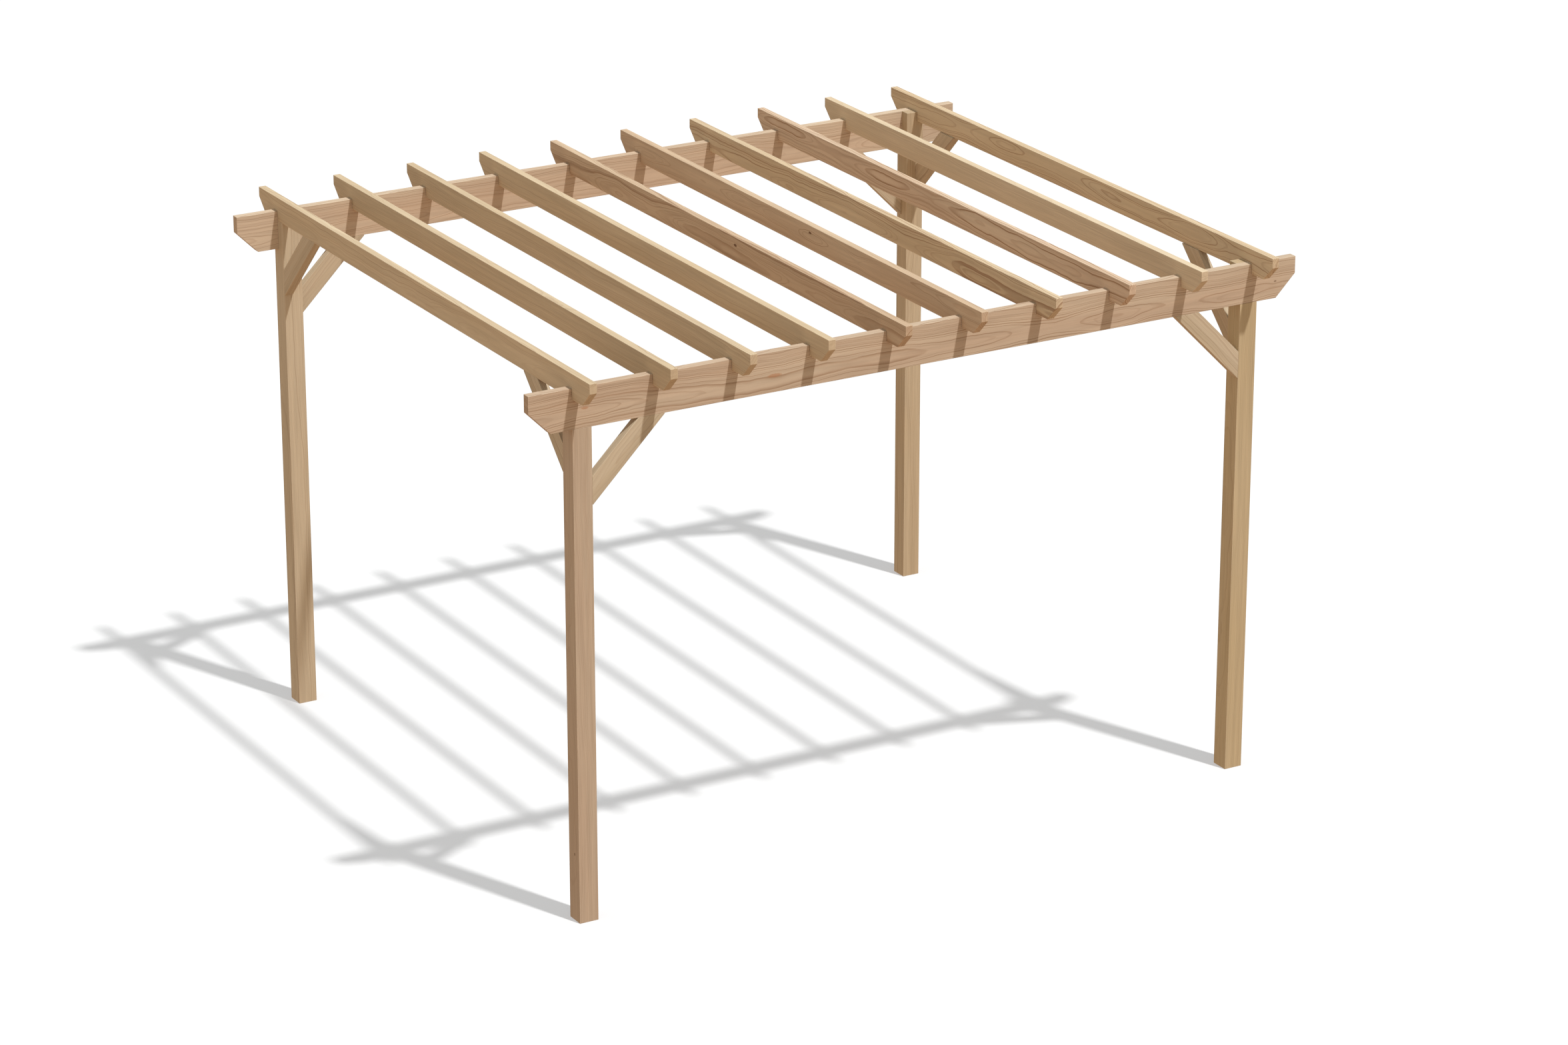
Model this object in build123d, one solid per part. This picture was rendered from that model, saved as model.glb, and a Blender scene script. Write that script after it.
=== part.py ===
from build123d import *
import math
import os

# A free-standing garden pergola of planed timber.
# X runs along the two beams, Y along the rafters from front to back, Z up from the ground.
# The origin is the middle of the ground between the four posts. All sizes are millimetres.

# Frame: outer faces of the posts, and the clear height under the beams
frame_length = 3815.0
frame_depth = 3255.0
clear_height = 2490.0

# Posts
post_side = 100.0

# Beams, one along the front and one along the back
beam_thickness = 45.0
beam_depth = 200.0
beam_overhang = 225.0
beam_end_height = 88.0

# Rafters across the beams
rafter_count = 10
rafter_thickness = 38.0
rafter_depth = 125.0
rafter_overhang = 175.0
rafter_end_height = 50.0

# Cross lap of a rafter over a beam: the depth shared, and the beam's part of it
lap_depth = 52.0
beam_notch_depth = 26.0
lap_clearance = 0.5

# Knee braces: section, and the leg of the open triangle inside the brace
brace_thickness = 45.0
brace_width = 100.0
brace_inner_leg = 245.0

# The front right post's brace to its rafter is the one longer brace
long_brace_corner = "front_right"
long_brace_inner_leg = 358.0

# Angles from level of the slanting cut under each free end, and of the braces
end_cut_angle = 45.0
brace_angle = 45.0

# Heights that follow from the sizes above
beam_top = clear_height + beam_depth
rafter_underside = beam_top - lap_depth
rafter_top = rafter_underside + rafter_depth

# Places of the outer timbers, measured from the middle to their centre planes
post_x = (frame_length - post_side) / 2
post_y = (frame_depth - post_side) / 2
beam_y = (frame_depth - beam_thickness) / 2
outer_rafter_x = (frame_length - rafter_thickness) / 2

LEFT_RIGHT = {"left": -1, "right": 1}
FRONT_BACK = {"front": -1, "back": 1}


def rafter_places():
    """Return the X of every rafter's centre plane, evenly spaced from post to post."""
    spacing = 2 * outer_rafter_x / (rafter_count - 1)
    return [-outer_rafter_x + number * spacing for number in range(rafter_count)]


def bar_outline(length, depth, end_height):
    """Return a bar's side outline, top edge on the axis, with a slanting cut under each end."""
    half = length / 2
    slant_run = (depth - end_height) / math.tan(math.radians(end_cut_angle))
    return make_face(
        Polyline(
            (-half, 0),
            (half, 0),
            (half, -end_height),
            (half - slant_run, -depth),
            (-half + slant_run, -depth),
            (-half, -end_height),
            close=True,
        )
    )


def make_beam(y):
    """Return one beam, notched from above for every rafter."""
    length = frame_length + 2 * beam_overhang
    outline = Plane.XZ.offset(-y) * Pos(0, beam_top) * bar_outline(length, beam_depth, beam_end_height)
    beam = extrude(outline, amount=beam_thickness / 2, both=True)
    notch = Box(rafter_thickness + 2 * lap_clearance, 2 * beam_thickness, 2 * beam_notch_depth)
    for x in rafter_places():
        beam -= Pos(x, y, beam_top) * notch
    return beam


def make_rafter(x):
    """Return one rafter, notched from below over both beams."""
    length = frame_depth + 2 * rafter_overhang
    outline = Plane.YZ.offset(x) * Pos(0, rafter_top) * bar_outline(length, rafter_depth, rafter_end_height)
    rafter = extrude(outline, amount=rafter_thickness / 2, both=True)
    notch_depth = lap_depth - beam_notch_depth
    notch = Box(2 * rafter_thickness, beam_thickness + 2 * lap_clearance, 2 * notch_depth)
    for side in FRONT_BACK.values():
        rafter -= Pos(x, side * beam_y, rafter_underside) * notch
    return rafter


def make_post(side_x, side_y):
    """Return one post: its outer half is a shoulder for the beam, its inner half a tongue.

    The tongue stands behind the beam and is housed down where the outer rafter crosses it.
    """
    post = Pos(side_x * post_x, side_y * post_y, beam_top / 2) * Box(post_side, post_side, beam_top)
    shoulder = Box(2 * post_side, beam_thickness, 2 * beam_depth)
    post -= Pos(side_x * post_x, side_y * beam_y, beam_top) * shoulder
    housing = Box(rafter_thickness + 2 * lap_clearance, 2 * post_side, 2 * lap_depth)
    post -= Pos(side_x * outer_rafter_x, side_y * post_y, beam_top) * housing
    return post


def brace_outline(inner_leg):
    """Return a brace's outline, from the corner that the post makes with the timber above."""
    slope = math.tan(math.radians(brace_angle))
    outer_leg = inner_leg + brace_width / math.sin(math.radians(brace_angle))
    return make_face(
        Polyline(
            (inner_leg, 0),
            (outer_leg, 0),
            (0, -outer_leg * slope),
            (0, -inner_leg * slope),
            close=True,
        )
    )


def make_beam_brace(side_x, side_y):
    """Return the brace from a post's side face up to the beam's underside."""
    corner = Vector(side_x * (frame_length / 2 - post_side), side_y * beam_y, clear_height)
    plane = Plane(origin=corner, x_dir=(-side_x, 0, 0), z_dir=(0, side_x, 0))
    return extrude(plane * brace_outline(brace_inner_leg), amount=brace_thickness / 2, both=True)


def make_rafter_brace(side_x, side_y, inner_leg):
    """Return the brace from a post's inner face up to the outer rafter's underside."""
    brace_x = (frame_length - brace_thickness) / 2
    corner = Vector(side_x * brace_x, side_y * (frame_depth / 2 - post_side), rafter_underside)
    plane = Plane(origin=corner, x_dir=(0, -side_y, 0), z_dir=(-side_y, 0, 0))
    return extrude(plane * brace_outline(inner_leg), amount=brace_thickness / 2, both=True)


def build_parts():
    """Return every timber of the pergola by name."""
    parts = {}
    for depth_name, side_y in FRONT_BACK.items():
        parts[f"beam_{depth_name}"] = make_beam(side_y * beam_y)
        for side_name, side_x in LEFT_RIGHT.items():
            corner = f"{depth_name}_{side_name}"
            rafter_brace_leg = long_brace_inner_leg if corner == long_brace_corner else brace_inner_leg
            parts[f"post_{corner}"] = make_post(side_x, side_y)
            parts[f"brace_{corner}_to_beam"] = make_beam_brace(side_x, side_y)
            parts[f"brace_{corner}_to_rafter"] = make_rafter_brace(side_x, side_y, rafter_brace_leg)
    for number, x in enumerate(rafter_places(), start=1):
        parts[f"rafter_{number:02d}"] = make_rafter(x)
    return parts


os.makedirs("parts", exist_ok=True)
for name, timber in build_parts().items():
    export_step(timber, f"parts/{name}.step")
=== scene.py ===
"""Looks of a free-standing garden pergola of planed softwood.

X runs along the beams, Y along the rafters from front to back and Z up, in metres. Every timber
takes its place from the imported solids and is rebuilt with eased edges. Its finish grows the rings
through the whole timber, so that the figure on two faces meets at their edge.
"""

import logging
import math
from dataclasses import dataclass
from enum import Enum
from functools import reduce

import bpy
import numpy as np
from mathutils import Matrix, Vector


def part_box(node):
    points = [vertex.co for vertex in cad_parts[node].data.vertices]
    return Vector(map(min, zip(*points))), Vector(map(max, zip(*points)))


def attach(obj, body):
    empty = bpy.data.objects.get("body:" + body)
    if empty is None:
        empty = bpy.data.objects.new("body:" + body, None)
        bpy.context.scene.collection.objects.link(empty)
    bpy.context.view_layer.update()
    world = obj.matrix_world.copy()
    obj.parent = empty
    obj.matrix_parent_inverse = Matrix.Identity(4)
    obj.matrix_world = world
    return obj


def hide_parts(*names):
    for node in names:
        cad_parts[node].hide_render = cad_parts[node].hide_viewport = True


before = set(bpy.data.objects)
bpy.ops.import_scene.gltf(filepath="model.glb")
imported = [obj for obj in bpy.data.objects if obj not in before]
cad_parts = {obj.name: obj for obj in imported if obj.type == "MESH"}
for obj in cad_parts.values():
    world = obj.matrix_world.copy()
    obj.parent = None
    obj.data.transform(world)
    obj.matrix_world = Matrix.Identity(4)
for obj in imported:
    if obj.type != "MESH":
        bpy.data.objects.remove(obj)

LOG = logging.getLogger("pergola")
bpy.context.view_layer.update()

Vec3 = tuple[float, float, float]
Rgba = tuple[float, float, float, float]
Socket = bpy.types.NodeSocket
Joinable = Socket | float | Vec3 | Rgba

NO_SHIFT = (0.0, 0.0, 0.0)
ALONG_GRAIN = (1.0, 0.0, 0.0)


# Choices


class Lie(Enum):
    """Which way a timber's length runs, as the turn of its own frame in radians.

    A timber's own frame has X along its length, Y through its thickness and Z across its width.
    """

    ALONG_BEAM = (0.0, 0.0, 0.0)
    ALONG_RAFTER = (0.0, 0.0, math.pi / 2)
    UPRIGHT = (0.0, -math.pi / 2, 0.0)
    RISING_RIGHT = (0.0, -math.pi / 4, 0.0)
    RISING_LEFT = (0.0, math.pi / 4, 0.0)
    RISING_BACK = (0.0, -math.pi / 4, math.pi / 2)
    RISING_FRONT = (0.0, math.pi / 4, math.pi / 2)

    @property
    def run(self) -> int:
        """Return the axis that the timber's side outline runs along: 0 for X and 1 for Y."""
        return int(self.value[2] > 0)


class Tone(Enum):
    """Colour of a timber's early wood, and of the stain that drifts over it."""

    ROSE = ((0.585, 0.465, 0.340), (0.538, 0.400, 0.286))
    HONEY = ((0.575, 0.460, 0.312), (0.535, 0.415, 0.268))
    STRAW = ((0.620, 0.508, 0.360), (0.570, 0.455, 0.308))
    AMBER = ((0.578, 0.458, 0.288), (0.536, 0.412, 0.242))
    RUSSET = ((0.555, 0.425, 0.294), (0.508, 0.370, 0.247))


class Figure(Enum):
    """How a timber was cut from its log: metres from its middle to the pith, through and across."""

    FLAT_SAWN = (0.040, -0.034)
    FLAT_SAWN_HIGH = (0.048, 0.020)
    SLAB_SAWN = (-0.046, 0.012)
    SLAB_SAWN_LOW = (-0.058, -0.030)
    RIFT_SAWN = (0.095, 0.120)
    QUARTER_SAWN = (0.030, 0.210)


class KnotLie(Enum):
    """The way that a knot runs through a timber, in the timber's own frame."""

    THROUGH_THICKNESS = (0.0, 1.0, 0.0)
    THROUGH_WIDTH = (0.0, 0.0, 1.0)


class SocketKind(Enum):
    """Kinds of socket that a shared effect shows."""

    NUMBER = "NodeSocketFloat"
    VECTOR = "NodeSocketVector"
    COLOUR = "NodeSocketColor"

    def named(self, *names: str) -> dict[str, "SocketKind"]:
        """Return sockets of this kind by name."""
        return dict.fromkeys(names, self)


# Meshes


@dataclass(frozen=True)
class Easing:
    """The small round that a planer leaves on every edge: its radius, and its points."""

    radius: float = 0.0016
    corner_radius: float = 0.0022
    steps: int = 4


@dataclass(frozen=True)
class Plane3:
    """A plane in the row frame: its origin and its first two axes, right-handed."""

    origin: np.ndarray
    across_page: np.ndarray
    up_page: np.ndarray

    @classmethod
    def through(cls, middle: np.ndarray, run: int) -> "Plane3":
        """Return the upright plane through a timber's middle, along axis 0 or 1."""
        axes = np.eye(3)
        return cls(axes[1 - run] * middle, axes[run], axes[2])

    def place(self, flat: np.ndarray, off: np.ndarray) -> np.ndarray:
        """Return origin + flat x * first axis + flat y * second axis + off * their cross product."""
        out_of_page = np.cross(self.across_page, self.up_page)
        return (
            self.origin
            + flat[..., :1] * self.across_page
            + flat[..., 1:] * self.up_page
            + off[..., None] * out_of_page
        )


def rounded_outline(
    corners: np.ndarray, radius: float, steps: int
) -> tuple[np.ndarray, np.ndarray, np.ndarray]:
    """Round the outward corners of an anticlockwise outline.

    A corner's mitre is the sum of its two edge normals over one plus their dot product. An arc
    stands on the centre corner - radius * mitre, and its points are centre + radius * direction,
    where the direction swings evenly from one edge normal to the next. An inward corner stays
    one sharp point, and its direction is its mitre.

    Args:
        corners: Corner points, one row each.
        radius: Radius of the arcs.
        steps: Points on each arc.

    Returns:
        The points, the direction in which each leaves the outline, and whether the edge that
        starts at each point is part of an arc.
    """
    edges = np.roll(corners, -1, axis=0) - corners
    ahead = edges / np.linalg.norm(edges, axis=1, keepdims=True)
    behind = np.roll(ahead, 1, axis=0)
    normal_ahead = ahead[:, ::-1] * (1, -1)
    normal_behind = behind[:, ::-1] * (1, -1)
    crossed = behind[:, 0] * ahead[:, 1] - behind[:, 1] * ahead[:, 0]
    turn = np.arctan2(crossed, (behind * ahead).sum(axis=1))[:, None, None]
    alike = (normal_ahead * normal_behind).sum(axis=1, keepdims=True)
    mitre = (normal_ahead + normal_behind) / (1 + alike)
    outward = turn > 0
    swing = np.where(outward, turn, 1.0)
    share = np.linspace(0, 1, steps)[None, :, None]
    leaving = np.sin((1 - share) * swing) * normal_behind[:, None]
    reaching = np.sin(share * swing) * normal_ahead[:, None]
    direction = np.where(outward, (leaving + reaching) / np.sin(swing), mitre[:, None])
    arc = (corners - radius * mitre)[:, None] + radius * direction
    points = np.where(outward, arc, corners[:, None])
    number = np.arange(steps)[None]
    keep = outward[..., 0] | (number == 0)
    on_arc = outward[..., 0] & (number < steps - 1)
    return points[keep], direction[keep], on_arc[keep]


def eased_edge_profile(thickness: float, ease: float, steps: int) -> tuple[np.ndarray, np.ndarray]:
    """Work out the profile across a timber's edge: a quarter round, a flat and a quarter round.

    On a quarter round the inset is ease * (1 - sin a) and the depth in from the face is
    ease * (1 - cos a), for a from 0 to a right angle.

    Args:
        thickness: Distance between the two wide faces.
        ease: Radius of the eased edge.
        steps: Points on each quarter round.

    Returns:
        The inset from the outline and the place across the thickness, for each point.
    """
    angle = np.linspace(0, math.pi / 2, steps)
    inset = ease * (1 - np.sin(angle))
    across = -thickness / 2 + ease * (1 - np.cos(angle))
    return np.concatenate([inset, inset[::-1]]), np.concatenate([across, -across[::-1]])


def bar_ends(low: np.ndarray, high: np.ndarray, end_height: float) -> np.ndarray:
    """Draw a bar on edge with a slanting cut under each end, without its notches.

    The cuts are at 45 degrees, so each runs as far along the bar as it rises.

    Args:
        low: Start of the bar and height of its underside.
        high: End of the bar and height of its top.
        end_height: Height that is left of each end.

    Returns:
        The corners, from the top of its start down, along and up again.
    """
    (start, bottom), (end, top) = low, high
    shoulder = top - end_height
    slant = top - bottom - end_height
    first = [(start, top), (start, shoulder), (start + slant, bottom)]
    return np.array([*first, (end - slant, bottom), (end, shoulder), (end, top)])


def notch_row(sides: np.ndarray, edge: float, floor: float) -> np.ndarray:
    """Draw a row of square notches as one array.

    Each notch is four corners: its first side at the edge and at the floor, then its second side
    at the floor and at the edge.

    Args:
        sides: First and second side of each notch, one row each.
        edge: Height of the edge that is notched.
        floor: Height of the notches' floor.

    Returns:
        The corners in order.
    """
    across = np.repeat(sides, 2, axis=1)
    height = np.broadcast_to(np.array([edge, floor, floor, edge]), across.shape)
    return np.stack([across.ravel(), height.ravel()], axis=1)


def mesh_of(
    name: str, points: np.ndarray, faces: list[tuple[int, ...]], smooth: np.ndarray
) -> bpy.types.Mesh:
    """Put points and faces into a mesh.

    Args:
        name: Name of the mesh.
        points: One row of three coordinates for each point.
        faces: Point numbers round each face, anticlockwise from outside.
        smooth: Whether each face is shaded smoothly.

    Returns:
        The mesh.
    """
    mesh = bpy.data.meshes.new(name)
    mesh.from_pydata(points.tolist(), [], faces)
    mesh.polygons.foreach_set("use_smooth", smooth)
    mesh.update()
    mesh.validate()
    return mesh


def eased_bar(
    name: str, plane: Plane3, corners: np.ndarray, thickness: float, easing: Easing
) -> bpy.types.Mesh:
    """Carry the eased edge profile round a timber's side outline.

    The grid's first parameter counts the profile and its second the outline. A point is
    outline point - inset * direction, placed at the profile's place across the thickness. The
    two wide faces close the ends of the profile.

    Args:
        name: Name of the mesh.
        plane: Plane of the outline, midway through the thickness.
        corners: Anticlockwise corners of the outline in that plane.
        thickness: Thickness of the timber.
        easing: How its edges are eased.

    Returns:
        The closed mesh.
    """
    outline, direction, on_arc = rounded_outline(corners, easing.corner_radius, easing.steps)
    inset, across = eased_edge_profile(thickness, easing.radius, easing.steps)
    flat = outline[None] - inset[:, None, None] * direction[None]
    off = np.broadcast_to(across[:, None], flat.shape[:2])
    points = plane.place(flat, off).reshape(-1, 3)
    rows, count = flat.shape[:2]
    here = np.arange(count)
    after = np.roll(here, -1)
    start = (np.arange(rows - 1) * count)[:, None]
    beyond = start + count
    quads = np.stack([start + here, start + after, beyond + after, beyond + here], axis=-1)
    faces = [tuple(quad) for quad in quads.reshape(-1, 4).tolist()]
    faces += [tuple(here[::-1].tolist()), tuple((here + (rows - 1) * count).tolist())]
    # The flat between the two quarter rounds is smooth only where the outline itself is an arc.
    smooth = np.ones((rows - 1, count), bool)
    smooth[easing.steps - 1] = on_arc
    return mesh_of(name, points, faces, np.append(smooth, [False, False]))


def stepped_shell(name: str, breaks: tuple[np.ndarray, ...], filled: np.ndarray) -> bpy.types.Mesh:
    """Skin a timber that is made of upright blocks between parallel planes.

    A face stands wherever a filled block has an empty neighbour, on each axis and side. Its four
    corners are the block's corners there, so neighbouring faces share their points.

    Args:
        name: Name of the mesh.
        breaks: Places of the planes on X, Y and Z, rising.
        filled: Whether each block between the planes is wood.

    Returns:
        The closed mesh.
    """
    lattice = np.stack(np.meshgrid(*breaks, indexing="ij"), axis=-1)
    number = np.arange(lattice[..., 0].size).reshape(lattice.shape[:3])
    padded = np.pad(filled, 1)
    quads = []
    for axis in range(3):
        side_a, side_b = (axis + 1) % 3, (axis + 2) % 3
        for step in (-1, 1):
            empty_next = ~np.roll(padded, -step, axis=axis)[1:-1, 1:-1, 1:-1]
            block = np.argwhere(filled & empty_next)
            block[:, axis] += (step + 1) // 2
            # The low side runs the other way round, so that its faces point outwards too.
            turns = np.array([(0, 0), (1, 0), (1, 1), (0, 1)])[::step]
            corner = np.repeat(block[:, None], 4, axis=1)
            corner[:, :, side_a] += turns[:, 0]
            corner[:, :, side_b] += turns[:, 1]
            quads.append(number[tuple(np.moveaxis(corner, -1, 0))])
    used, faces = np.unique(np.concatenate(quads), return_inverse=True)
    faces = [tuple(face) for face in faces.reshape(-1, 4).tolist()]
    return mesh_of(name, lattice.reshape(-1, 3)[used], faces, np.zeros(len(faces), bool))


# Node benches


@dataclass(frozen=True)
class Noise:
    """A noise through the wood: its waves a metre on each axis, its detail and its roughness."""

    waves: Vec3
    detail: float = 2.0
    roughness: float = 0.5

    def at(self, place: Joinable) -> dict[str, Joinable]:
        """Return what feeds a Noise Texture node at a place that is already in waves."""
        return {"Vector": place, "Scale": 1.0, "Detail": self.detail, "Roughness": self.roughness}


class NodeBench:
    """A node tree that is being put together."""

    def __init__(self, tree: bpy.types.NodeTree) -> None:
        """Clear a tree and take it to work on."""
        tree.nodes.clear()
        self.tree = tree

    def feed(self, socket: Socket, value: Joinable) -> None:
        """Join a socket to another, or set its plain value.

        Args:
            socket: The input to feed.
            value: A socket, a number, a vector or a colour.
        """
        if isinstance(value, Socket):
            self.tree.links.new(value, socket)
        else:
            socket.default_value = value

    def add(
        self, kind: str, inputs: dict[str | int, Joinable] | None = None, **settings: object
    ) -> bpy.types.Node:
        """Add a node, set its options and feed its inputs.

        Args:
            kind: Blender's name of the node.
            inputs: What feeds each input, by name or number.
            settings: The node's own options.

        Returns:
            The node.
        """
        node = self.tree.nodes.new(kind)
        for option, value in settings.items():
            setattr(node, option, value)
        for key, value in (inputs or {}).items():
            self.feed(node.inputs[key], value)
        return node

    def math(self, operation: str, *values: Joinable) -> Socket:
        """Return the result of one Math node."""
        node = self.add("ShaderNodeMath", dict(enumerate(values)), operation=operation)
        return node.outputs[0]

    def vector(self, operation: str, *values: Joinable) -> Socket:
        """Return the vector result of one Vector Math node."""
        node = self.add("ShaderNodeVectorMath", dict(enumerate(values)), operation=operation)
        return node.outputs["Vector"]

    def measure(self, operation: str, *values: Joinable) -> Socket:
        """Return the number that a Vector Math node gives, such as a length."""
        node = self.add("ShaderNodeVectorMath", dict(enumerate(values)), operation=operation)
        return node.outputs["Value"]

    def product(self, *values: Joinable) -> Socket:
        """Return the product of several numbers."""
        return reduce(lambda first, second: self.math("MULTIPLY", first, second), values)

    def with_shares(self, total: Joinable, *shares: tuple[Joinable, Joinable]) -> Socket:
        """Return a number plus the product of each pair."""
        return reduce(lambda so_far, pair: self.math("MULTIPLY_ADD", *pair, so_far), shares, total)

    def scaled(self, vector: Joinable, factor: Joinable) -> Socket:
        """Return a vector times a number."""
        node = self.add("ShaderNodeVectorMath", {0: vector, "Scale": factor}, operation="SCALE")
        return node.outputs["Vector"]

    def split(self, vector: Joinable) -> tuple[Socket, ...]:
        """Return a vector's X, Y and Z."""
        return tuple(self.add("ShaderNodeSeparateXYZ", {0: vector}).outputs)

    def joined(self, x: Joinable, y: Joinable, z: Joinable) -> Socket:
        """Return the vector with this X, Y and Z."""
        return self.add("ShaderNodeCombineXYZ", {0: x, 1: y, 2: z}).outputs[0]

    def turned(self, vector: Joinable, turn: Vec3, centre: Vec3 = NO_SHIFT) -> Socket:
        """Return a vector as seen in a frame that has this turn and centre."""
        given = {"Vector": vector, "Location": centre, "Rotation": turn}
        return self.add("ShaderNodeMapping", given, vector_type="TEXTURE").outputs[0]

    def spread(
        self, value: Joinable, low: Joinable, high: Joinable, to_low: float = 0.0, to_high: float = 1.0
    ) -> Socket:
        """Ease a value smoothly from one range into another.

        Args:
            value: The number to map.
            low: Where it starts to rise.
            high: Where it has risen.
            to_low: The result below low.
            to_high: The result above high.

        Returns:
            The mapped number.
        """
        ranges = {0: value, 1: low, 2: high, 3: to_low, 4: to_high}
        node = self.add("ShaderNodeMapRange", ranges, interpolation_type="SMOOTHSTEP")
        return node.outputs["Result"]

    def noise(self, position: Joinable, pattern: Noise, shift: Joinable = NO_SHIFT) -> Socket:
        """Return a noise of position * waves + shift, from zero to one."""
        place = self.vector("MULTIPLY_ADD", position, pattern.waves, shift)
        return self.add("ShaderNodeTexNoise", pattern.at(place)).outputs[0]

    def swing(self, position: Joinable, pattern: Noise, shift: Joinable = NO_SHIFT) -> Socket:
        """Return a noise that swings to both sides of zero."""
        return self.math("SUBTRACT", self.noise(position, pattern, shift), 0.5)

    def noise_along(
        self, line: Joinable, waves: float, shift: Joinable, detail: float = 1.0
    ) -> bpy.types.Node:
        """Return a Noise Texture node of one line only, at line * waves + shift."""
        look = {"W": self.math("MULTIPLY_ADD", line, waves, shift), "Scale": 1.0, "Detail": detail}
        return self.add("ShaderNodeTexNoise", look, noise_dimensions="1D")

    def blend(self, factor: Joinable, first: Joinable, second: Joinable, mode: str = "MIX") -> Socket:
        """Mix two colours.

        Args:
            factor: Share of the second colour.
            first: Colour at zero.
            second: Colour at one.
            mode: Blender's name of the way of mixing.

        Returns:
            The mixed colour.
        """
        node = self.add("ShaderNodeMix", data_type="RGBA", blend_type=mode)
        for number, value in ((0, factor), (6, first), (7, second)):
            self.feed(node.inputs[number], value)
        return node.outputs[2]

    def shaded(self, colour: Joinable, shade: Joinable) -> Socket:
        """Return a colour times a number."""
        return self.blend(1.0, colour, self.joined(shade, shade, shade), "MULTIPLY")


@dataclass(frozen=True)
class Effect:
    """A shader effect shared by the finishes: a node group with named inputs and outputs."""

    name: str
    inputs: dict[str, SocketKind]
    outputs: dict[str, SocketKind]

    def open(self) -> tuple[NodeBench, dict[str, Socket], dict[str, Socket]]:
        """Start the node group.

        Returns:
            A bench on the new group, what it is given, and what it has to make.
        """
        tree = bpy.data.node_groups.new(self.name, "ShaderNodeTree")
        bench = NodeBench(tree)
        for way, sockets in (("INPUT", self.inputs), ("OUTPUT", self.outputs)):
            for name, kind in sockets.items():
                tree.interface.new_socket(name=name, in_out=way, socket_type=kind.value)
        given = bench.add("NodeGroupInput").outputs
        made = bench.add("NodeGroupOutput").inputs
        return bench, dict(given.items()), dict(made.items())

    def place(self, bench: NodeBench, values: dict[str, Joinable]) -> dict[str, Socket]:
        """Place the effect in a material.

        Args:
            bench: Bench of the material.
            values: What feeds each input, by name.

        Returns:
            The effect's outputs by name.
        """
        node = bench.add("ShaderNodeGroup", node_tree=bpy.data.node_groups[self.name])
        for name in self.inputs:
            bench.feed(node.inputs[name], values[name])
        return dict(node.outputs.items())


# Shared effects


NUMBERS = SocketKind.NUMBER.named
VECTORS = SocketKind.VECTOR.named
COLOURS = SocketKind.COLOUR.named

GROWTH_RINGS = Effect(
    "growth_rings",
    VECTORS("Position", "Facing", "Pith")
    | NUMBERS("Ring Width", "Taper", "Wander", "Ripple", "Seed"),
    NUMBERS("Late Wood", "Band"),
)
WOOD_FIBRES = Effect(
    "wood_fibres", VECTORS("Position") | NUMBERS("Seed"), NUMBERS("Streak", "Fibre", "Drift")
)
GRAIN_ROUND_KNOT = Effect(
    "grain_round_knot",
    VECTORS("Position", "Centre", "Way") | NUMBERS("Radius", "Length"),
    VECTORS("Position") | NUMBERS("Core"),
)
# Paler long edges: worn wood, and a painted highlight along every edge.
EDGE_WEAR_AND_HIGHLIGHT = Effect(
    "edge_wear_and_highlight", VECTORS("Position", "Half Size") | NUMBERS("Reach"), NUMBERS("Wear")
)
END_GRAIN = Effect("end_grain", VECTORS("Normal", "Along"), NUMBERS("End Grain"))
TIMBER_COLOUR = Effect(
    "timber_colour",
    COLOURS("Early Colour", "Drift Colour", "Late Colour")
    | NUMBERS("Late Wood", "Band", "Streak", "Fibre", "Drift", "Wear", "End Grain", "Figure"),
    COLOURS("Colour") | NUMBERS("Roughness", "Height"),
)


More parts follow.
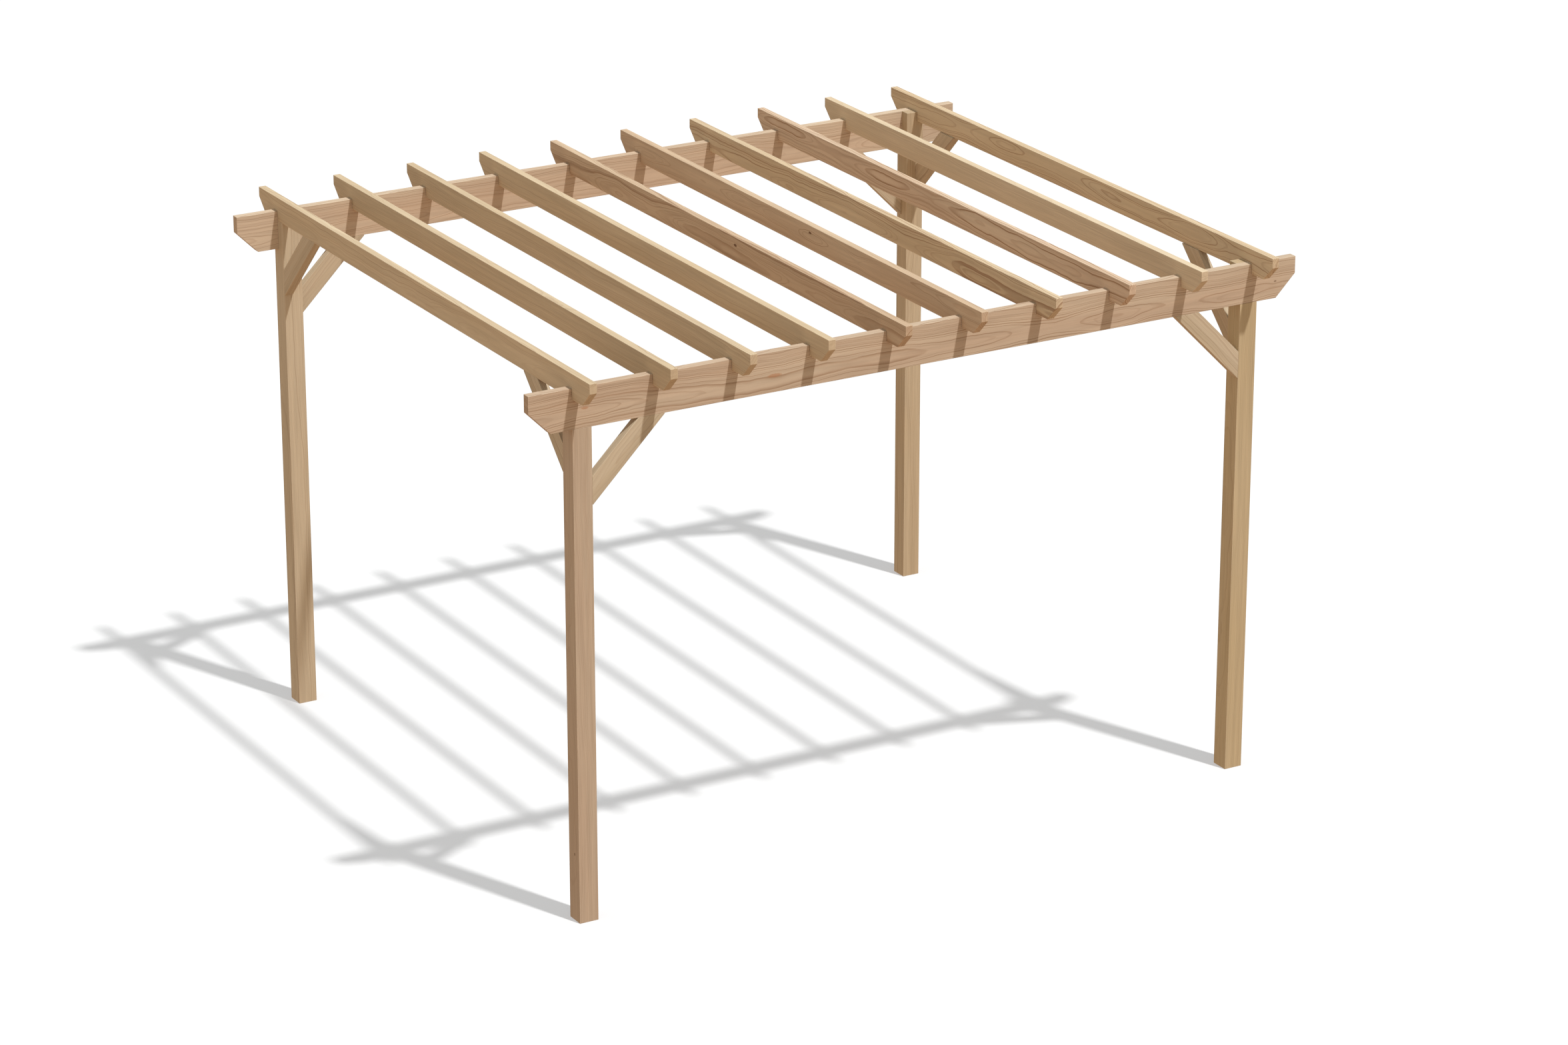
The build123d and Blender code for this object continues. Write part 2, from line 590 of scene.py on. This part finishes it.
def build_growth_rings() -> None:
    """Build the rings of the log that a timber was cut from.

    The distance to the pith is measured across the grain, after a slow noise along the timber
    has moved the pith and finer noises have waved and rippled the rings. The log tapers, so the
    distance also grows evenly along the timber. Distance over ring width, shifted by a noise of
    the distance, counts the rings. Late wood rises through each ring and stops short at its end,
    each ring has its own depth, and the line is fainter where the face lies flat on a ring. Band
    is a slow noise of the distance alone.
    """
    sway_waves = 0.7
    wave_noise = Noise((7.0, 6.0, 6.0))
    ripple_noise = Noise((3.4, 9.0, 9.0), roughness=0.55)
    fine_noise = Noise((22.0, 40.0, 40.0), detail=1.0)
    wave_height, fine_height = 2.2, 0.12
    uneven_waves, uneven_rings = 60.0, 2.6
    late_rise, late_fall = (0.58, 0.93), (0.95, 1.0)
    faintest_ring, flat_from, depth_when_flat = 0.30, 0.92, 0.4
    band_waves, band_seed, band_range = 45.0, 7.3, (0.30, 0.70)

    bench, given, made = GROWTH_RINGS.open()
    position, seed, ripple_size = given["Position"], given["Seed"], given["Ripple"]
    along, through, across = bench.split(position)
    _, pith_through, pith_across = bench.split(given["Pith"])
    shift = bench.joined(seed, 0.0, 0.0)
    slow = bench.noise_along(along, sway_waves, seed, 2.0).outputs["Color"]
    sway = bench.scaled(bench.vector("SUBTRACT", slow, (0.5, 0.5, 0.5)), given["Wander"])
    sway_through, sway_across, _ = bench.split(sway)
    wave = bench.swing(position, wave_noise, shift)
    across = bench.with_shares(across, (wave, bench.product(ripple_size, wave_height)))
    out_through = bench.math("SUBTRACT", bench.math("ADD", through, sway_through), pith_through)
    out_across = bench.math("SUBTRACT", bench.math("ADD", across, sway_across), pith_across)
    outward = bench.joined(0.0, out_through, out_across)
    distance = bench.with_shares(
        bench.measure("LENGTH", outward),
        (along, given["Taper"]),
        (bench.swing(position, ripple_noise, shift), ripple_size),
        (bench.swing(position, fine_noise), bench.product(ripple_size, fine_height)),
    )

    uneven = bench.noise_along(distance, uneven_waves, seed).outputs[0]
    rings_out = bench.math("DIVIDE", distance, given["Ring Width"])
    count = bench.with_shares(rings_out, (uneven, uneven_rings))
    within = bench.math("FRACT", count)
    rise = bench.spread(within, *late_rise)
    fall = bench.spread(within, *late_fall, 1.0, 0.0)
    ring = bench.math("ADD", bench.math("FLOOR", count), seed)
    own = bench.add("ShaderNodeTexWhiteNoise", {"W": ring}, noise_dimensions="1D").outputs[0]
    own_depth = bench.spread(own, 0.0, 1.0, faintest_ring, 1.0)
    facing = bench.measure("DOT_PRODUCT", bench.vector("NORMALIZE", outward), given["Facing"])
    flatness = bench.math("ABSOLUTE", facing)
    depth = bench.product(own_depth, bench.spread(flatness, flat_from, 1.0, 1.0, depth_when_flat))
    bench.feed(made["Late Wood"], bench.product(rise, fall, depth))

    band = bench.noise_along(distance, band_waves, bench.math("ADD", seed, band_seed)).outputs[0]
    bench.feed(made["Band"], bench.spread(band, *band_range))


def build_wood_fibres() -> None:
    """Build what runs with the grain: broad streaks, single fibres, and the slow drift of colour.

    Each is a noise of the position, stretched along the timber by the ratio of its waves.
    """
    patterns = {
        "Streak": Noise((2.0, 62.0, 62.0), 3.0, 0.55),
        "Fibre": Noise((9.0, 620.0, 620.0), 3.0, 0.65),
        "Drift": Noise((0.8, 5.0, 7.0)),
    }
    noise_range = (0.28, 0.72)
    bench, given, made = WOOD_FIBRES.open()
    shift = bench.joined(given["Seed"], given["Seed"], 0.0)
    for name, pattern in patterns.items():
        noise = bench.noise(given["Position"], pattern, shift)
        bench.feed(made[name], bench.spread(noise, *noise_range))


def build_grain_round_knot() -> None:
    """Build the bend of the grain round a knot, and the knot's own disc.

    The offset from the knot is taken square to the way it runs. Its strength falls off as
    exp(-d squared), with d the offset over a long oval, and the position is drawn towards the
    knot by that share of the offset, which pushes the rings seen there outwards. The disc is
    longer along the timber by the knot's length, and its rim is frayed by a noise.
    """
    oval_shape, across_grain = (0.16, 0.42, 0.42), (0.0, 1.0, 1.0)
    pull_share = -0.82
    fray_noise, fray_share = Noise((160.0, 220.0, 220.0)), 0.7
    rim = (0.75, 1.25)
    bench, given, made = GRAIN_ROUND_KNOT.open()
    apart = bench.vector("SUBTRACT", given["Position"], given["Centre"])
    through = bench.scaled(given["Way"], bench.measure("DOT_PRODUCT", apart, given["Way"]))
    offset = bench.vector("SUBTRACT", apart, through)
    oval = bench.vector("MULTIPLY", offset, oval_shape)
    reach = bench.math("DIVIDE", bench.measure("LENGTH", oval), given["Radius"])
    strength = bench.math("EXPONENT", bench.product(reach, reach, -1.0))
    sideways = bench.vector("MULTIPLY", offset, across_grain)
    pull = bench.scaled(sideways, bench.product(strength, pull_share))
    bench.feed(made["Position"], bench.vector("ADD", given["Position"], pull))
    disc = bench.vector("DIVIDE", offset, bench.joined(given["Length"], 1.0, 1.0))
    out = bench.math("DIVIDE", bench.measure("LENGTH", disc), given["Radius"])
    out = bench.with_shares(out, (bench.swing(given["Position"], fray_noise), fray_share))
    bench.feed(made["Core"], bench.spread(out, *rim, 1.0, 0.0))


def build_edge_wear_and_highlight() -> None:
    """Build the mask of a timber's long edges, which are paled as worn wood and as a painted
    highlight.

    A point on a face has one distance of zero to the timber's box. The middle one of its three
    distances is the way to the nearest edge, and the mask falls off over the reach, frayed by a
    noise.
    """
    fray_noise = Noise((30.0, 90.0, 90.0), 3.0, 0.6)
    fray_range, reach_range = (0.3, 0.7), (0.4, 1.6)
    fade = (0.2, 1.0)
    bench, given, made = EDGE_WEAR_AND_HIGHLIGHT.open()
    inside = bench.vector("SUBTRACT", given["Half Size"], bench.vector("ABSOLUTE", given["Position"]))
    first, second, third = bench.split(inside)
    low = bench.math("MINIMUM", first, second)
    high = bench.math("MAXIMUM", first, second)
    middle = bench.math("MAXIMUM", low, bench.math("MINIMUM", high, third))
    frayed = bench.spread(bench.noise(given["Position"], fray_noise), *fray_range, *reach_range)
    reach = bench.product(given["Reach"], frayed)
    wear_and_highlight = bench.spread(bench.math("DIVIDE", middle, reach), *fade, 1.0, 0.0)
    bench.feed(made["Wear"], wear_and_highlight)


def build_end_grain() -> None:
    """Build the mask of cut ends: the dot product of the face's normal and the grain, sharpened."""
    sharpened = (0.35, 0.85)
    bench, given, made = END_GRAIN.open()
    facing = bench.math("ABSOLUTE", bench.measure("DOT_PRODUCT", given["Normal"], given["Along"]))
    bench.feed(made["End Grain"], bench.spread(facing, *sharpened))


def build_timber_colour() -> None:
    """Build a timber's colour, roughness and height from its masks.

    The early wood drifts towards its stain, darkens with the rings, bands, streaks and fibres,
    deepens on cut ends and pales along the edges, as worn wood and as a painted highlight.
    Height adds the ridges of late wood to the fibres.
    """
    drift_share, late_in_band = 0.9, 0.45
    band_share, late_share = 0.09, 0.62
    end_share, wear_and_highlight_share = 0.16, 0.16
    # Pale colour of the edges: worn wood and a painted highlight.
    worn_and_highlight_colour = (0.82, 0.70, 0.54, 1.0)
    lightest, streak_shade, fibre_shade = 1.08, -0.125, -0.07
    plain_roughness, plain_height = 0.70, 0.0

    bench, given, made = TIMBER_COLOUR.open()
    early, drifted, late = (given[f"{name} Colour"] for name in ("Early", "Drift", "Late"))
    late_wood, end = given["Late Wood"], given["End Grain"]
    streak, fibre = given["Streak"], given["Fibre"]
    colour = bench.blend(bench.product(given["Drift"], drift_share), early, drifted)
    banded = bench.product(given["Band"], band_share, given["Figure"])
    colour = bench.blend(banded, colour, bench.blend(late_in_band, drifted, late))
    ringed = bench.product(late_wood, late_share, given["Figure"])
    colour = bench.blend(ringed, colour, late)
    shade = bench.with_shares(lightest, (streak, streak_shade), (fibre, fibre_shade))
    colour = bench.shaded(colour, shade)
    colour = bench.blend(bench.product(end, end_share), colour, late)
    # Painted highlight and wear: the long edges pale towards this colour.
    colour = bench.blend(bench.product(given["Wear"], wear_and_highlight_share), colour, worn_and_highlight_colour)
    rough = bench.with_shares(plain_roughness, (late_wood, -0.10), (fibre, 0.07), (end, 0.12))
    height = bench.with_shares(plain_height, (late_wood, 0.55), (fibre, 0.35), (streak, 0.25))
    for name, value in {"Colour": colour, "Roughness": rough, "Height": height}.items():
        bench.feed(made[name], value)


def build_effects() -> None:
    """Build every shared effect once."""
    build_growth_rings()
    build_wood_fibres()
    build_grain_round_knot()
    build_edge_wear_and_highlight()
    build_end_grain()
    build_timber_colour()


# Finishes


@dataclass(frozen=True)
class Knot:
    """A knot in a timber.

    It is its middle in the timber's own frame, its radius, how much it covers the wood, how many
    times longer than wide it is, its colour, and the way that it runs.
    """

    along: float
    through: float
    across: float
    radius: float
    cover: float = 0.8
    length: float = 1.8
    colour: Vec3 = (0.150, 0.078, 0.040)
    lie: KnotLie = KnotLie.THROUGH_THICKNESS


@dataclass(frozen=True)
class TimberFinish:
    """Planed softwood, cut from its own place in its own log.

    It is the wood's tone, the way it was sawn, the seed of its noises, its lightness and how
    strongly the rings show. What follows is much the same in all the timbers.
    """

    tone: Tone
    figure: Figure
    seed: float
    lightness: float = 1.0
    figure_strength: float = 1.0
    knots: tuple[Knot, ...] = ()
    ring_width: float = 0.0076
    taper: float = 0.009
    wander: float = 0.085
    ripple: float = 0.008
    late_colour: Vec3 = (0.300, 0.175, 0.098)
    bump_strength: float = 0.6
    bump_depth: float = 0.0005
    # How far the pale edge, worn wood and painted highlight, reaches in from each edge.
    edge_reach: float = 0.0035
    shine: float = 0.30

    def tinted(self, colour: Vec3) -> Rgba:
        """Return a colour at this timber's lightness."""
        return tuple(min(1.0, part * self.lightness) for part in colour) + (1.0,)

    def material(self, name: str, centre: Vec3, half_size: Vec3, lie: Lie) -> bpy.types.Material:
        """Make the timber's material.

        Args:
            name: Name of the material.
            centre: The timber's middle in the row frame.
            half_size: Half of its length, thickness and width.
            lie: Which way its length runs.

        Returns:
            The material.
        """
        material = bpy.data.materials.new(name)
        material.use_nodes = True
        bench = NodeBench(material.node_tree)
        where = bench.add("ShaderNodeTexCoord").outputs
        own = bench.turned(where["Object"], lie.value, centre)
        facing = bench.turned(where["Normal"], lie.value)
        grain_at, knot_cores = self.bend_round_knots(bench, own)
        place = {"Position": grain_at, "Seed": self.seed}
        log = {
            "Facing": facing,
            "Pith": (0.0, *self.figure.value),
            "Ring Width": self.ring_width,
            "Taper": self.taper,
            "Wander": self.wander,
            "Ripple": self.ripple,
        }
        edges = {"Position": own, "Half Size": half_size, "Reach": self.edge_reach}
        masks = GROWTH_RINGS.place(bench, place | log)
        masks |= WOOD_FIBRES.place(bench, place)
        # Pale edges: worn wood and a painted highlight.
        masks |= EDGE_WEAR_AND_HIGHLIGHT.place(bench, edges)
        masks |= END_GRAIN.place(bench, {"Normal": facing, "Along": ALONG_GRAIN})
        early, drift = self.tone.value
        colours = {
            "Early Colour": self.tinted(early),
            "Drift Colour": self.tinted(drift),
            "Late Colour": self.tinted(self.late_colour),
            "Figure": self.figure_strength,
        }
        looks = TIMBER_COLOUR.place(bench, masks | colours)
        colour = looks["Colour"]
        for knot, core in zip(self.knots, knot_cores):
            colour = bench.blend(bench.product(core, knot.cover), colour, self.tinted(knot.colour))
        bump = {"Strength": self.bump_strength, "Distance": self.bump_depth, "Height": looks["Height"]}
        surface = {
            "Base Color": colour,
            "Roughness": looks["Roughness"],
            "Specular IOR Level": self.shine,
            "Normal": bench.add("ShaderNodeBump", bump).outputs[0],
        }
        shader = bench.add("ShaderNodeBsdfPrincipled", surface)
        bench.add("ShaderNodeOutputMaterial", {"Surface": shader.outputs[0]})
        return material

    def bend_round_knots(self, bench: NodeBench, position: Socket) -> tuple[Socket, list[Socket]]:
        """Bend the grain round each knot in turn.

        Args:
            bench: Bench of the material.
            position: Position in the timber's own frame.

        Returns:
            The bent position, and the mask of each knot.
        """
        cores = []
        for knot in self.knots:
            given = {
                "Position": position,
                "Centre": (knot.along, knot.through, knot.across),
                "Way": knot.lie.value,
                "Radius": knot.radius,
                "Length": knot.length,
            }
            bent = GRAIN_ROUND_KNOT.place(bench, given)
            position = bent["Position"]
            cores.append(bent["Core"])
        return position, cores


# Timbers


def box_of(node: str) -> np.ndarray:
    """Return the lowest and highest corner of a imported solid."""
    return np.array(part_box(node))


def add_object(name: str, data: bpy.types.ID) -> bpy.types.Object:
    """Add an object to the scene.

    Args:
        name: Name of the object.
        data: Its mesh, light or camera.

    Returns:
        The object.
    """
    thing = bpy.data.objects.new(name, data)
    bpy.context.scene.collection.objects.link(thing)
    return thing


@dataclass
class Timbers:
    """What every set of timbers has: a finish for each by name, their slot and eased edges."""

    finishes: dict[str, TimberFinish]
    slot: str
    easing: Easing = Easing()

    def boxes(self) -> np.ndarray:
        """Return the lowest and highest corner of each timber."""
        return np.array([box_of(node) for node in self.finishes])

    def dress(self, node: str, mesh: bpy.types.Mesh, half_size: Vec3, lie: Lie) -> bpy.types.Object:
        """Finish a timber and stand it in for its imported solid.

        Args:
            node: Name of the solid.
            mesh: The timber's mesh, already in its place.
            half_size: Half of its length, thickness and width.
            lie: Which way its length runs.

        Returns:
            The timber's object.
        """
        centre = tuple(box_of(node).mean(axis=0))
        material = self.finishes[node].material(f"{node}_wood", centre, half_size, lie)
        timber = add_object(f"{node}_dressed", mesh)
        mesh.materials.append(material)
        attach(timber, "root")
        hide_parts(node)
        LOG.info("%s: %d points, %d faces", timber.name, len(mesh.vertices), len(mesh.polygons))
        return timber

    def lay(self, node: str, corners: np.ndarray, half_size: Vec3, lie: Lie) -> None:
        """Build and dress one timber from its side outline.

        Args:
            node: Name of the timber's solid.
            corners: Anticlockwise corners of its outline.
            half_size: Half of its length, thickness and width.
            lie: Which way its length runs.
        """
        plane = Plane3.through(box_of(node).mean(axis=0), lie.run)
        mesh = eased_bar(node, plane, corners, 2 * half_size[1], self.easing)
        self.dress(node, mesh, half_size, lie)


@dataclass
class Beams(Timbers):
    """The two beams on edge, notched from above for every rafter."""

    slot: str = "beam_timber"
    end_height: float = 0.088
    notch_width: float = 0.039
    notch_depth: float = 0.026

    def build(self, rafters: np.ndarray) -> None:
        """Build and dress both beams.

        A notch reaches half its width to each side of its rafter's middle.

        Args:
            rafters: Middle of every rafter on X.
        """
        half = self.notch_width / 2
        sides = rafters[::-1, None] + np.array([half, -half])
        for node in self.finishes:
            low, high = box_of(node)
            notches = notch_row(sides, high[2], high[2] - self.notch_depth)
            ends = bar_ends(low[[0, 2]], high[[0, 2]], self.end_height)
            corners = np.concatenate([ends, notches])
            self.lay(node, corners, tuple((high - low) / 2), Lie.ALONG_BEAM)


@dataclass
class Rafters(Timbers):
    """The row of rafters on edge, notched from below over both beams."""

    slot: str = "rafter_timber"
    end_height: float = 0.050
    notch_depth: float = 0.026
    notch_clearance: float = 0.0005

    def build(self, beams: np.ndarray) -> None:
        """Build and dress every rafter.

        A notch reaches past both faces of its beam by the clearance.

        Args:
            beams: Front and back face of each beam on Y, from front to back.
        """
        sides = beams + np.array([-self.notch_clearance, self.notch_clearance])
        for node in self.finishes:
            low, high = box_of(node)
            notches = notch_row(sides, low[2], low[2] + self.notch_depth)
            ends = bar_ends(low[1:], high[1:], self.end_height)
            corners = np.concatenate([ends[:3], notches, ends[3:]])
            half_size = tuple((high - low)[[1, 0, 2]] / 2)
            self.lay(node, corners, half_size, Lie.ALONG_RAFTER)


@dataclass
class Posts(Timbers):
    """The four square posts: a shoulder for the beam, and a tongue housed for the outer rafter."""

    slot: str = "post_timber"
    shoulder_width: float = 0.045
    shoulder_height: float = 2.490
    housing_width: float = 0.0385
    housing_height: float = 2.638

    def shell(self, node: str) -> bpy.types.Mesh:
        """Skin one post from the blocks between its shoulder, housing and outer faces.

        Above the shoulder only the inner blocks are wood, and above the housing only those that
        also stand inside the rafter.

        Args:
            node: Name of the post's solid.

        Returns:
            The post's mesh, with sharp edges.
        """
        low, high = box_of(node)
        right, back = low[0] > 0, low[1] > 0
        housing = high[0] - self.housing_width if right else low[0] + self.housing_width
        shoulder = high[1] - self.shoulder_width if back else low[1] + self.shoulder_width
        breaks = (
            np.array([low[0], housing, high[0]]),
            np.array([low[1], shoulder, high[1]]),
            np.array([low[2], self.shoulder_height, self.housing_height, high[2]]),
        )
        inner_x = np.array([right, not right])
        inner_y = np.array([back, not back])
        filled = np.ones((2, 2, 3), bool)
        filled[:, :, 1] = inner_y[None, :]
        filled[:, :, 2] = inner_x[:, None] & inner_y[None, :]
        return stepped_shell(node, breaks, filled)

    def ease(self, post: bpy.types.Object) -> None:
        """Round a post's edges with a live bevel.

        Args:
            post: The post's object.
        """
        bevel = post.modifiers.new("eased_edges", "BEVEL")
        bevel.width = self.easing.radius
        bevel.segments = self.easing.steps - 1
        bevel.limit_method = "ANGLE"
        bevel.harden_normals = True

    def build(self) -> None:
        """Build and dress every post."""
        for node in self.finishes:
            low, high = box_of(node)
            half_size = tuple((high - low)[::-1] / 2)
            self.ease(self.dress(node, self.shell(node), half_size, Lie.UPRIGHT))


@dataclass
class Braces(Timbers):
    """The knee braces between the posts and the timbers that they carry."""

    slot: str = "brace_timber"
    width: float = 0.100

    def outline(self, low: np.ndarray, high: np.ndarray, rises: bool) -> np.ndarray:
        """Draw a brace's outline inside the square that it spans.

        Its two long edges stand half its width over the sine of 45 degrees from the diagonal, so
        each cut end is the brace's width times the square root of two.

        Args:
            low: Lowest corner of the square.
            high: Highest corner of the square.
            rises: Whether the brace rises towards the plane's first axis.

        Returns:
            Anticlockwise corners.
        """
        cut = self.width * math.sqrt(2)
        (left, bottom), (right, top) = low, high
        if rises:
            return np.array([(left, bottom), (right, top), (right - cut, top), (left, bottom + cut)])
        return np.array([(right, bottom), (right, bottom + cut), (left + cut, top), (left, top)])

    def build(self) -> None:
        """Build and dress every brace."""
        for node in self.finishes:
            low, high = box_of(node)
            run = 0 if node.endswith("to_beam") else 1
            rises = low[run] + high[run] < 0
            if run == 0:
                lie = Lie.RISING_RIGHT if rises else Lie.RISING_LEFT
            else:
                lie = Lie.RISING_BACK if rises else Lie.RISING_FRONT
            corners = self.outline(low[[run, 2]], high[[run, 2]], rises)
            half_length = (high[2] - low[2]) * math.sqrt(2) / 2
            half_thickness = (high[1 - run] - low[1 - run]) / 2
            self.lay(node, corners, (half_length, half_thickness, self.width / 2), lie)


# Studio


@dataclass(frozen=True)
class Viewpoint:
    """Where the camera stands and how it looks: metres, and turns in radians."""

    position: Vec3 = (-11.9976, -21.0213, 10.1950)
    turn_right: float = 0.524088
    tip_down: float = 0.357447
    lens: float = 116.042
    sensor: float = 36.0
    far_clip: float = 1000.0

    def set_up(self) -> None:
        """Stand the camera in the scene."""
        data = bpy.data.cameras.new("viewpoint")
        data.lens = self.lens
        data.sensor_width = self.sensor
        data.clip_end = self.far_clip
        camera = add_object("viewpoint", data)
        camera.location = self.position
        camera.rotation_euler = (math.pi / 2 - self.tip_down, 0.0, -self.turn_right)
        bpy.context.scene.camera = camera


@dataclass(frozen=True)
class Studio:
    """A pale floor, one soft key light, and a sky that is warmer below and brighter on the left."""

    floor_half_side: float = 400.0
    floor_grey: float = 0.548
    floor_glow: Vec3 = (0.323, 0.331, 0.348)
    key_way: Vec3 = (-0.18, 0.46, -1.0)
    key_strength: float = 2.95
    key_spread: float = 2.0
    above: Vec3 = (0.446, 0.441, 0.410)
    below: Vec3 = (0.680, 0.463, 0.302)
    horizon: float = 0.25
    lean: float = 0.26
    backdrop: Vec3 = (1.1, 1.1, 1.1)

    def lay_floor(self) -> None:
        """Lay the floor, one square that is seen from above only."""
        corners = np.array([(-1, -1, 0), (1, -1, 0), (1, 1, 0), (-1, 1, 0)]) * self.floor_half_side
        floor = add_object("floor", mesh_of("floor", corners, [(0, 1, 2, 3)], np.array([False])))
        material = bpy.data.materials.new("pale_floor")
        material.use_nodes = True
        bench = NodeBench(material.node_tree)
        matt = bench.add("ShaderNodeBsdfDiffuse", {"Color": (self.floor_grey,) * 3 + (1.0,)})
        glow = bench.add("ShaderNodeEmission", {"Color": (*self.floor_glow, 1.0)})
        lit = bench.add("ShaderNodeAddShader", {0: matt.outputs[0], 1: glow.outputs[0]})
        clear = bench.add("ShaderNodeBsdfTransparent")
        side = bench.add("ShaderNodeNewGeometry").outputs["Backfacing"]
        both = bench.add("ShaderNodeMixShader", {0: side, 1: lit.outputs[0], 2: clear.outputs[0]})
        bench.add("ShaderNodeOutputMaterial", {"Surface": both.outputs[0]})
        floor.data.materials.append(material)
        floor.visible_diffuse = False
        floor.visible_glossy = False

    def hang_key(self) -> None:
        """Hang the key light, its beam along key_way."""
        data = bpy.data.lights.new("key", "SUN")
        data.energy = self.key_strength
        data.angle = math.radians(self.key_spread)
        x, y, z = self.key_way
        turn = (math.atan2(math.hypot(x, y), -z), 0.0, math.atan2(x, -y) + math.pi)
        add_object("key", data).rotation_euler = turn

    def light_sky(self) -> None:
        """Light the sky.

        Above and below meet softly at the horizon, the left is brighter by the lean, and the
        camera sees the plain backdrop.
        """
        world = bpy.data.worlds.new("sky")
        world.use_nodes = True
        bench = NodeBench(world.node_tree)
        way = bench.split(bench.add("ShaderNodeTexCoord").outputs["Generated"])
        height = bench.spread(way[2], -self.horizon, self.horizon)
        light = bench.blend(height, (*self.below, 1.0), (*self.above, 1.0))
        light = bench.shaded(light, bench.with_shares(1.0, (way[0], -self.lean)))
        seen = bench.add("ShaderNodeLightPath").outputs["Is Camera Ray"]
        colour = bench.blend(seen, light, (*self.backdrop, 1.0))
        sky = bench.add("ShaderNodeBackground", {"Color": colour})
        bench.add("ShaderNodeOutputWorld", {"Surface": sky.outputs[0]})
        bpy.context.scene.world = world

    def set_up(self) -> None:
        """Set up the floor, the lights and the plain rendering of colour."""
        self.lay_floor()
        self.hang_key()
        self.light_sky()
        bpy.context.scene.view_settings.view_transform = "Standard"


# The pergola's own timbers: tone, figure, seed, lightness, strength of the figure, and knots


ORANGE = (0.420, 0.185, 0.082)
FRONT_BEAM_KNOTS = (
    Knot(-0.838, 0.0, -0.017, 0.0085, 0.60, 4.2, ORANGE),
    Knot(-1.842, 0.0, -0.004, 0.0060, 0.60, 3.0, ORANGE),
    Knot(2.014, 0.0, -0.012, 0.0045, 0.60),
)
BEAM_FINISHES = {
    "beam_front": TimberFinish(Tone.ROSE, Figure.FLAT_SAWN, 3.1, 1.03, 1.45, FRONT_BEAM_KNOTS),
    "beam_back": TimberFinish(Tone.ROSE, Figure.FLAT_SAWN, 11.7, 1.10, 1.3),
}

HIGH_KNOT = Knot(-0.178, 0.0, 0.021, 0.0070, 0.95, 2.2)
LOW_KNOT = Knot(-0.193, 0.0, 0.025, 0.0060, 0.95, 2.2)
# From left to right
RAFTER_ROW = [
    TimberFinish(Tone.HONEY, Figure.SLAB_SAWN_LOW, 21.3, 1.14, 1.2),
    TimberFinish(Tone.HONEY, Figure.QUARTER_SAWN, 34.9, 1.13, 0.8),
    TimberFinish(Tone.HONEY, Figure.RIFT_SAWN, 47.2, 1.14, 0.9),
    TimberFinish(Tone.HONEY, Figure.QUARTER_SAWN, 58.6, 1.16, 0.8),
    TimberFinish(Tone.RUSSET, Figure.SLAB_SAWN_LOW, 63.4, 1.18, 1.3, (HIGH_KNOT,)),
    TimberFinish(Tone.RUSSET, Figure.SLAB_SAWN, 75.8, 1.19, 1.9, (LOW_KNOT,)),
    TimberFinish(Tone.HONEY, Figure.SLAB_SAWN_LOW, 86.1, 1.21, 1.8),
    TimberFinish(Tone.ROSE, Figure.SLAB_SAWN, 92.5, 1.27, 1.9),
    TimberFinish(Tone.STRAW, Figure.QUARTER_SAWN, 103.7, 1.19, 0.7),
    TimberFinish(Tone.HONEY, Figure.SLAB_SAWN, 118.4, 1.25, 2.1),
]
RAFTER_FINISHES = {f"rafter_{number:02d}": finish for number, finish in enumerate(RAFTER_ROW, 1)}

FOOT_KNOT = Knot(-1.000, -0.006, 0.0, 0.0045, lie=KnotLie.THROUGH_WIDTH)
POST_FINISHES = {
    "post_front_left": TimberFinish(Tone.ROSE, Figure.QUARTER_SAWN, 131.2, 0.95, 0.6, (FOOT_KNOT,)),
    "post_front_right": TimberFinish(Tone.AMBER, Figure.QUARTER_SAWN, 142.6, 1.00, 0.6),
    "post_back_left": TimberFinish(Tone.STRAW, Figure.QUARTER_SAWN, 155.9, 0.97, 0.6),
    "post_back_right": TimberFinish(Tone.HONEY, Figure.RIFT_SAWN, 167.3, 1.00, 0.6),
}

BRACES = [
    f"brace_{depth}_{side}_to_{carried}"
    for depth in ("front", "back")
    for side in ("left", "right")
    for carried in ("beam", "rafter")
]
BRACE_FIGURES = [Figure.FLAT_SAWN_HIGH, Figure.RIFT_SAWN, Figure.FLAT_SAWN, Figure.QUARTER_SAWN]
FIRST_BRACE_SEED = 180.5
BRACE_SEED_STEP = 9.7
BRACE_FINISHES = {
    name: TimberFinish(Tone.STRAW, figure, FIRST_BRACE_SEED + BRACE_SEED_STEP * number, 0.93, 0.8)
    for number, (name, figure) in enumerate(zip(BRACES, 2 * BRACE_FIGURES))
}


def main() -> None:
    """Build the pergola, dress it and set up the studio."""
    logging.basicConfig(level=logging.INFO, format="%(message)s")
    build_effects()
    beams = Beams(BEAM_FINISHES)
    rafters = Rafters(RAFTER_FINISHES)
    beams.build(rafters.boxes()[:, :, 0].mean(axis=1))
    rafters.build(beams.boxes()[:, :, 1])
    Posts(POST_FINISHES).build()
    Braces(BRACE_FINISHES).build()
    Studio().set_up()
    Viewpoint().set_up()


if __name__ == "__main__":
    main()
